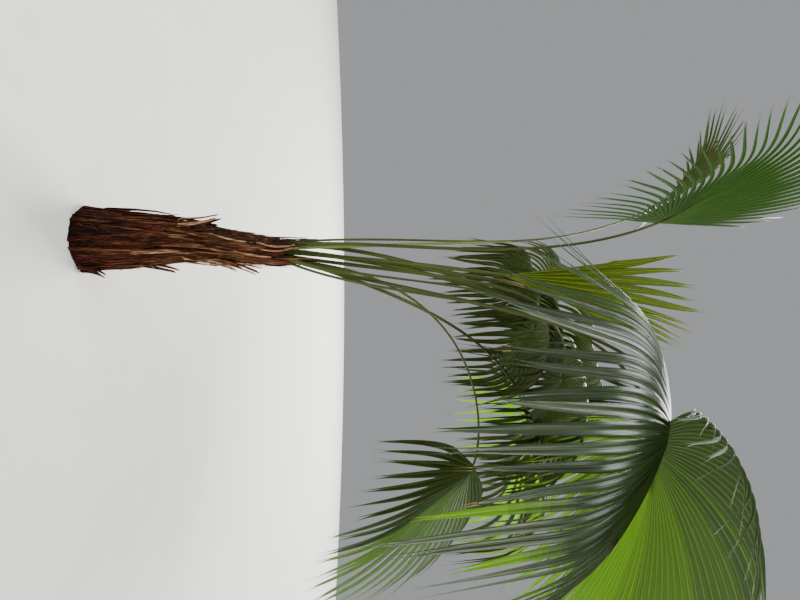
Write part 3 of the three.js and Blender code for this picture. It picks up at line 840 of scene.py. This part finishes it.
base_random = np.random.default_rng(5)
parts = all_bases(base_random) + [sheath(SHEATH_STRIPS, base_random)]
centre, half, tone = [np.concatenate(arrays) for arrays in zip(*parts)]
centre[..., 2] = np.maximum(centre[..., 2], GROUND_GAP)
points, quads, ribbon_of, row_of, side_of = ribbons(centre, half)
bases = mesh_object("old_leaf_bases", points, quads, BASES, tone[ribbon_of])
finish_piece(bases, "bark", "trunk")

# %% [markdown]
# ## Loose fibre
# Between the old bases the trunk is wrapped in coarse dry fibre that frays away from it. These are
# short thin ribbons, dealt over the trunk at random, and a few of them are pale.

# %% Fibres over the trunk
FIBRE_COUNT = 900
FIBRE_LENGTHS = (0.05, 0.17)
FIBRE_HALF_WIDTHS = (0.0004, 0.0012)
FIBRE_THICK = 0.0006
FIBRE_STANDOFF = 0.020
FIBRE_SLANT = 0.18
PALE_FIBRES = 0.15


def fibres(count, random, rows=7):
    """Thin ribbons that climb the trunk with a slant, wander a little, and stand off at the tip."""
    start = random.uniform(0, 0.86, count)
    turn = random.uniform(0, 2 * np.pi, count)
    length = random.uniform(*FIBRE_LENGTHS, count)
    slant = random.normal(0, FIBRE_SLANT, count)
    off = random.uniform(0.0, FIBRE_STANDOFF, count) * random.random(count)
    share = np.linspace(0, 1, rows)
    height = np.clip(start[:, None] + length[:, None] * share, GROUND_GAP, TRUNK_TOP + 0.03)
    wave = 0.04 * np.sin(share * 9 + random.uniform(0, 6, count)[:, None])
    angle = turn[:, None] + (slant * length)[:, None] * share / 0.08 + wave
    away = trunk_radius(np.minimum(height, TRUNK_TOP)) + 0.004 + off[:, None] * share ** 2
    half = random.uniform(*FIBRE_HALF_WIDTHS, count)[:, None] * (1 - 0.6 * share)
    return trunk_ribbons(angle, height, away, half, FIBRE_THICK, columns=2)


fibre_random = np.random.default_rng(8)
points, quads, ribbon_of, row_of, side_of = ribbons(*fibres(FIBRE_COUNT, fibre_random))
pale = (fibre_random.random(FIBRE_COUNT) < PALE_FIBRES).astype(int)
threads = mesh_object("trunk_fibres", points, quads, [FIBRE, BASES[-1]], pale[ribbon_of])
finish_piece(threads, "bark", "trunk")


# %% [markdown]
# ## Leaf stalks
# A stalk is a long curve that leaves the trunk's top upright and comes in along the leaf's midrib.
# A curve with four control points gives that with two pulls. Its section is rounded below and has
# a shallow channel above, and it narrows into the midrib under the blade.

# %% The leaf's axes and rays
def leaf_axes(plan):
    """Along the midrib, out of the upper face, and across the leaf."""
    along = heading(plan.turn, plan.rise)
    upper = turned(square_to(UP, along), along, np.radians(plan.roll))
    return along, upper, np.cross(along, upper)


def midrib_at(plan, slide):
    """The ray's direction and the midrib's place at metres along it: it bends evenly downwards."""
    along = leaf_axes(plan)[0]
    bend = np.radians(plan.midrib_droop) * slide / plan.midrib
    level = unit(np.cross(along, DOWN))
    bent = turned(along, level, bend)
    return bent, np.array(plan.at) + slide[..., None] * unit(along + bent)


def ray_starts(plan, theta):
    """For each ray angle: its start on the midrib, first and sideways directions, and length."""
    _, upper, across = leaf_axes(plan)
    share = np.abs(theta) / np.radians(plan.spread)
    bent, base = midrib_at(plan, plan.midrib * np.maximum(0, 1 - share) ** 1.3)
    lift = np.radians(plan.fold)
    side = np.sign(theta)[..., None]
    outward = side * np.cos(lift) * across + np.sin(lift) * upper
    c, s = np.cos(np.abs(theta))[..., None], np.sin(np.abs(theta))[..., None]
    first = unit(c * bent + s * outward)
    sweep = np.where(side == 0, across, side * (c * outward - s * bent))
    length = (plan.reach - plan.midrib) * (1 - plan.shorten * share ** 2)
    return base, first, square_to(sweep, first), length


def droop(plan, theta, x):
    """How far each ray has turned towards straight down, from 0 to 1, at shares of its length.
    Either side of the peak the droop changes by the square of the distance from it."""
    from_peak = theta / np.radians(plan.spread) - plan.droop_peak
    side = np.where(from_peak < 0, *plan.side_droop) * from_peak ** 2
    outer = np.clip(plan.outer_droop + side, plan.inner_droop, 1)[:, None]
    start = plan.inner_droop * np.clip(x / plan.split, 0, 1)
    late = smooth((x - plan.split * 0.8) / plan.droop_width)
    return start + (outer - plan.inner_droop) * late


# %% Stalk curve and section
def blade_heel(plan):
    """The middle of the blade's flat end behind the midrib, where the stalk comes in."""
    theta = np.radians(plan.spread) * np.array([-1.0, 1.0])
    base, first, _, _ = ray_starts(plan, theta)
    return (base + first * BLADE_START).mean(axis=0)


def stalk_curve(plan, share):
    """Places on the stalk: a cubic curve from the trunk's top, pulled along its lean, to the
    blade, pulled back along the midrib."""
    along = leaf_axes(plan)[0]
    foot = trunk_centre(np.array(TRUNK_TOP)) + plan.ring * heading(plan.ring_turn, 0)
    foot = foot + FOOT_GAP * UP
    head = blade_heel(plan)
    span = np.linalg.norm(head - foot)
    a = foot + plan.foot_pull * span * heading(*plan.lean)
    b = head - plan.head_pull * span * along
    t = share[:, None]
    s = 1 - t
    return s ** 3 * foot + 3 * s ** 2 * t * a + 3 * s * t ** 2 * b + t ** 3 * head


STALK_HALF_WIDTH = (0.012, 0.0085)
STALK_HALF_DEPTH = (0.00675, 0.0055)
STALK_HEEL = 0.12
CHANNEL_DEPTH = 0.42
MIDRIB_UNDER = 0.004
MIDRIB_FROM = 0.15


def stalk_with_midrib(plan, rows=90, around=20):
    """The stalk's skin and, past the blade's heel, the midrib under the blade. The section at an
    angle q is wide cos q sideways and deep sin q front to back, with its upper half pressed in by
    a channel. It narrows along the stalk and tapers to a point at the midrib's end."""
    along, upper, across = leaf_axes(plan)
    main = stalk_curve(plan, np.linspace(0, 1, rows))
    _, rib = midrib_at(plan, np.linspace(MIDRIB_FROM, 1.0, 16) * plan.midrib)
    path = np.concatenate([main, rib - MIDRIB_UNDER * upper])
    tangent = unit(np.gradient(path, axis=0))
    tangent[0] = UP
    foot_side = heading(plan.ring_turn + 90, 0)
    if foot_side @ across < 0:
        foot_side = -foot_side
    share = np.clip(np.arange(len(path)) / (rows - 1), 0, 1)[:, None]
    side = square_to(between((foot_side, across), smooth(share)), tangent)
    front = np.cross(tangent, side)
    past = (np.linspace(0, 1, len(path)) - rows / len(path)) / (1 - rows / len(path))
    taper = 1 - 0.85 * smooth(past)[:, None]
    wide = between(STALK_HALF_WIDTH, share) * taper * (1 + STALK_HEEL * np.exp(-share / 0.03))
    deep = between(STALK_HALF_DEPTH, share) * taper
    angle = full_turn(around)
    channel = 1 - CHANNEL_DEPTH * np.clip(-np.sin(angle), 0, 1) ** 3
    sideways = side[:, None] * (wide * np.cos(angle))[..., None]
    return path[:, None] + sideways + front[:, None] * (deep * np.sin(angle) * channel)[..., None]


for plan in LEAVES:
    stalk = tube_piece(f"stalk_{plan.name}_fine", stalk_with_midrib(plan), STALK)
    finish_piece(stalk, "stalk", f"stalk_{plan.name}")


# %% [markdown]
# ## The fans
# A fan is pleated like a paper one. Near the midrib its segments are joined edge to edge. Further
# out they part, keep their fold, and hang in long tips that split in two. Each segment is made of
# two half ribbons that meet at its fold, so the split tip needs nothing special: past a point the
# halves simply drift apart. The whole fan is one array of rays, and gravity turns each ray towards
# straight down by the leaf's own droop, varied a little from segment to segment.

# %% One fan's ribbons
SEGMENT_ROWS = 40
LEAF_THICKNESS = 0.0009
RIB_THICKNESS = 0.0026
SPLIT_LIMITS = (0.12, 0.8)
SPLIT_SCATTER = 0.05
SWAY_SCATTER = 0.07
TWIST_SCATTER = 0.45
PARTED_BY = 0.25
TIP_SPLITS = (0.62, 0.86)
TIP_OPENING = 0.010
TIP_THINNING = 0.75
RAY_START = 0.004
ROW_CROWDING = 0.85
# The fold's depth as a share of the half width: on the plate, more of it past the split, and how
# much the tip flattens
FOLD_DEPTH = 0.42
FOLD_DEEPENS = 0.18
FOLD_FLATTENS = 0.35


def segment_lines(plan, theta, x, sag, sway, stretch):
    """For each ray: its places, direction and sideways direction at the shares x of its length.

    A ray starts on the midrib. Between two rows it turns in the fan's face by the curl, then
    towards straight down by the droop. Past the split each has a sag, sway and stretch of its
    own. The steps between the rows add up to its places."""
    base, first, sideways, length = ray_starts(plan, theta)
    mid = (x[1:] + x[:-1]) / 2
    beyond = mid - plan.split
    curl = plan.curl * theta[:, None] * mid
    face = unit(np.cross(sideways, first))[:, None]
    flat = turned(first[:, None], face, curl)
    hinge = unit(np.cross(flat, DOWN))
    to_down = np.arccos(np.clip(flat @ DOWN, -1, 1))
    own_sag = sag[:, None] ** smooth(beyond / PARTED_BY)
    turn = to_down * np.clip(droop(plan, theta, mid) * own_sag, 0, 1)
    across = turned(turned(sideways[:, None], face, curl), hinge, turn)
    wander = sway[:, None] * smooth(beyond / (1 - plan.split))
    way = unit(turned(flat, hinge, turn) + across * wander[..., None])
    longer = 1 + (stretch[:, None] - 1) * smooth(beyond / 0.1)
    steps = way * (np.diff(x) * longer * length[:, None])[..., None]
    start = (base + first * RAY_START)[:, None]
    place = np.concatenate([start, start + np.cumsum(steps, axis=1)], axis=1)
    way = np.concatenate([way[:, :1], (way[:, 1:] + way[:, :-1]) / 2, way[:, -1:]], axis=1)
    way = unit(way)
    across = np.concatenate([across, across[:, -1:]], axis=1)
    return place, way, square_to(across, way)


def fan_ribbons(plan, random):
    """The two half ribbons of every segment.

    Rows run along the ray from the midrib to the tip, three columns run from the segment's edge
    to its fold. Up to the split, a column lies on the line of its own ray angle, so neighbours
    share an edge. Beyond it, a column lies at the middle ray plus the sideways direction times a
    half width that narrows to the tip. The fold hangs below the edges by the pleat's depth."""
    count = plan.segments
    spread = np.radians(plan.spread)
    edges = np.linspace(-spread, spread, count + 1)
    middle = (edges[1:] + edges[:-1]) / 2
    x = np.linspace(0, 1, SEGMENT_ROWS) ** ROW_CROWDING
    deeper = 1 - np.where(middle < 0, *plan.side_split) * (middle / spread) ** 2
    split = plan.split * plan.parted * deeper * random.normal(1, SPLIT_SCATTER, count)
    split = np.clip(split, *SPLIT_LIMITS)[:, None]
    past = np.clip((x - split) / (1 - split), 0, 1)

    plain = np.ones(count + 1)
    edge_place = segment_lines(plan, edges, x, plain, 0 * plain, plain)[0]
    sag = random.normal(1, plan.sag, count)
    sway = random.normal(0, SWAY_SCATTER, count)
    stretch = 1 - plan.ragged * random.random(count)
    place, way, across = segment_lines(plan, middle, x, sag, sway, stretch)
    twist = random.normal(0, TWIST_SCATTER, count)[:, None] * past ** 1.5
    across = turned(across, way, twist)
    upper = unit(np.cross(across, way))

    chord = np.linalg.norm(edge_place[1:] - edge_place[:-1], axis=-1) / 2
    at_split = np.take_along_axis(chord, np.argmax(x >= split, axis=1)[:, None], axis=1)
    narrow = (1 - 0.12 * smooth(past / 0.06)) * (1 - past ** 1.5) ** 0.9 + 0.02
    opened = 1 + (plan.widen - 1) * smooth(past / PARTED_BY)
    half = np.where(past > 0, at_split * narrow * opened, chord)
    deep = FOLD_DEPTH + FOLD_DEEPENS * smooth(past / 0.15) - FOLD_FLATTENS * smooth(2 * past - 1)
    depth = half * deep * smooth(x / 0.1) * (1 + (plan.pleat - 1) * smooth(past / 0.3))

    forked = random.uniform(*TIP_SPLITS, count)[:, None]
    apart = smooth((past - forked) / (1 - forked))
    opening = random.uniform(0.25, 1.2, count)[:, None] * TIP_OPENING * apart ** 1.5
    share = np.array([0.0, 0.5, 1.0])
    zigzag = plan.zigzag
    fold = (1 - zigzag) * (1 - share) ** 1.2 + zigzag * np.abs(2 * share - 1)
    fall = upper[:, :, None] * ((depth * (1 - apart))[..., None] * fold)[..., None]
    halves = []
    for sign, edge in ((-1.0, edge_place[:-1]), (1.0, edge_place[1:])):
        inner = sign * (0.5 * apart * half + opening)
        outer = sign * (half * (1 - 0.5 * apart) + opening)
        offset = between((inner[..., None], outer[..., None]), share)
        loose = place[:, :, None] + across[:, :, None] * offset[..., None]
        plate = between((place[:, :, None], edge[:, :, None]), share[:, None])
        columns = np.where(past[..., None, None] > 0, loose, plate) - fall
        halves.append(columns[:, :, ::-1] if sign < 0 else columns)
    shape = (count * 2, SEGMENT_ROWS, 3)
    centre = np.stack(halves, axis=1).reshape(*shape, 3)

    thick = np.array([[LEAF_THICKNESS, LEAF_THICKNESS, RIB_THICKNESS],
                      [RIB_THICKNESS, LEAF_THICKNESS, LEAF_THICKNESS]])[:, None]
    thick = (thick * (1 - TIP_THINNING * past)[:, None, :, None] / 2).reshape(shape)
    normal = np.repeat(upper, 2, axis=0)[:, :, None]
    from_fold = np.array([[-1.0, -0.5, 0.0], [0.0, 0.5, 1.0]])[:, None]
    across_map = (half[:, None, :, None] * from_fold).reshape(shape)
    return centre, normal * thick[..., None], np.repeat(past, 2, axis=0), across_map


# %% Make every fan
TINT_SCATTER = 0.05
SEGMENT_MAP_STEP = 6.3
FAN_SEED = 100
DRY_SHARE = 0.16
GLOW_RATE = 18


def make_fan(plan, random):
    """One fan as a single piece, its segments dealt a tint each and their tips a dry length. On
    the segments that glow, the tint steps from deep to bright over a way past the split."""
    count = plan.segments
    centre, half, past, across_map = fan_ribbons(plan, random)
    points, quads, ribbon_of, row_of, side_of = ribbons(centre, half)
    past = past[ribbon_of, row_of]
    segment = ribbon_of // 2
    slots = both_faces(tint for _, tint in plan.tints)
    place = np.linspace(-1, 1, count) + random.normal(0, TINT_SCATTER, count)
    starts = [start for start, _ in plan.tints]
    own_tint = np.clip(np.searchsorted(starts, place) - 1, 0, len(starts) - 1)[segment]
    dry_from = 1 - DRY_SHARE * random.random(count) ** 2
    slot_index = own_tint * 2 + (side_of == BELOW)
    glow_from, glow_to, glow_share = plan.glow
    glowing = random.random(count) < glow_share
    glowing &= (place > glow_from) & (place < glow_to)
    if glowing.any():
        steps = np.clip((past - PARTED_BY) * GLOW_RATE, 0, GLOW_STEPS - 1).astype(int)
        lit = glowing[segment] & (past > PARTED_BY)
        slot_index = np.where(lit, len(slots) + 2 * steps + (side_of == BELOW), slot_index)
        slots += both_faces(f"glow{step}" for step in range(GLOW_STEPS))
    slots.append(DRY)
    slot_index[past > dry_from[segment]] = len(slots) - 1
    own_place = np.arange(len(centre))[:, None, None] // 2 * SEGMENT_MAP_STEP
    uv = ribbon_uv(across_map, run_along(centre) + own_place, quads)
    name = f"blade_{plan.name}"
    finish_piece(mesh_object(f"{name}_fine", points, quads, slots, slot_index, uv), "blade", name)


for number, plan in enumerate(LEAVES):
    make_fan(plan, np.random.default_rng(FAN_SEED + number))


# %% [markdown]
# ## The spear
# The newest leaf is still shut like a furled umbrella. It is a tube whose section is a star that
# twists slowly, since its pleats are packed round each other.

# %% Spear
SPEAR_TURN = 225
SPEAR_RISE = 88
SPEAR_HEIGHT = 1.05
SPEAR_RADIUS = 0.0088
SPEAR_TAPER = 0.0058
PLEATS = 8
PLEAT_DEPTH = 0.12
PLEAT_TWIST = 5


def spear_rings(rows=80, around=40):
    """A tapering tube with eight pleats: radius(height) (1 + depth cos(8 angle + twist height))."""
    share = np.linspace(0, 1, rows)[:, None]
    foot = trunk_centre(np.array(TRUNK_TOP)) + INNER_RING * heading(SPEAR_TURN, 0) + FOOT_GAP * UP
    path = foot + share * SPEAR_HEIGHT * heading(SPEAR_TURN, SPEAR_RISE)
    angle = full_turn(around)
    pleat = 1 + PLEAT_DEPTH * np.cos(PLEATS * angle + PLEAT_TWIST * share)
    radius = (SPEAR_RADIUS - SPEAR_TAPER * share ** 1.4) * pleat
    return path[:, None] + level_out(angle) * radius[..., None]


finish_piece(tube_piece("spear_fine", spear_rings(), SPEAR), "spear", "spear")

# %% [markdown]
# ## Floor and light
# A plain pale floor and big soft lights, as in a studio. One large light stands high behind the
# plant, because the real leaves are lit from behind, one stands above it, and a softer one fills
# the side that the camera sees.

# %% Floor
FLOOR_RADII = (0.05, 0.5, 2.0, 6.0, 13.0)
FLOOR_SIDES = 96
FLOOR_GAP = 0.0005

rings = level_out(full_turn(FLOOR_SIDES)) * np.reshape(FLOOR_RADII, (-1, 1, 1)) - FLOOR_GAP * UP
wall = wall_quads(len(FLOOR_RADII), FLOOR_SIDES)
quads = np.concatenate([wall[:, ::-1], lid_quads(FLOOR_SIDES)])
floor_finish, tree, shader = new_material("floor_pale")
grain = stretched_noise(tree, "Object", (3.0, 3.0, 3.0))
colour = ramp(tree, grain, [(0.3, (0.60, 0.59, 0.57)), (0.7, (0.64, 0.63, 0.61))])
feed(tree, shader, {"Base Color": colour, "Roughness": 0.9})
floor = mesh_object("floor", rings.reshape(-1, 3), quads, [floor_finish])


# %% Lights
CROWN = (0.5, 0.1, 2.2)


def soft_light(name, place, size, power, colour):
    """A square area light at a place, turned to shine at the crown."""
    data = bpy.data.lights.new(name, "AREA")
    data.size = size
    data.energy = power
    data.color = colour
    light = bpy.data.objects.new(name, data)
    away = unit(np.subtract(place, CROWN))
    side = unit(np.cross(UP, away))
    turn = Matrix((side, np.cross(away, side), away)).transposed().to_4x4()
    light.matrix_world = Matrix.Translation(place) @ turn
    bpy.context.scene.collection.objects.link(light)


soft_light("light_behind", (1.5, 11.0, 8.0), 9.0, 5200, (1.0, 0.99, 0.96))
soft_light("light_above", (-0.8, -2.0, 9.0), 6.0, 1300, (0.97, 0.99, 1.0))
soft_light("light_front", (7.0, -3.5, 3.0), 5.0, 560, (1.0, 0.98, 0.94))

world = bpy.data.worlds.new("studio")
world.use_nodes = True
sky = world.node_tree.nodes["Background"]
feed(world.node_tree, sky, {"Color": (0.82, 0.84, 0.86), "Strength": 0.42})
bpy.context.scene.world = world
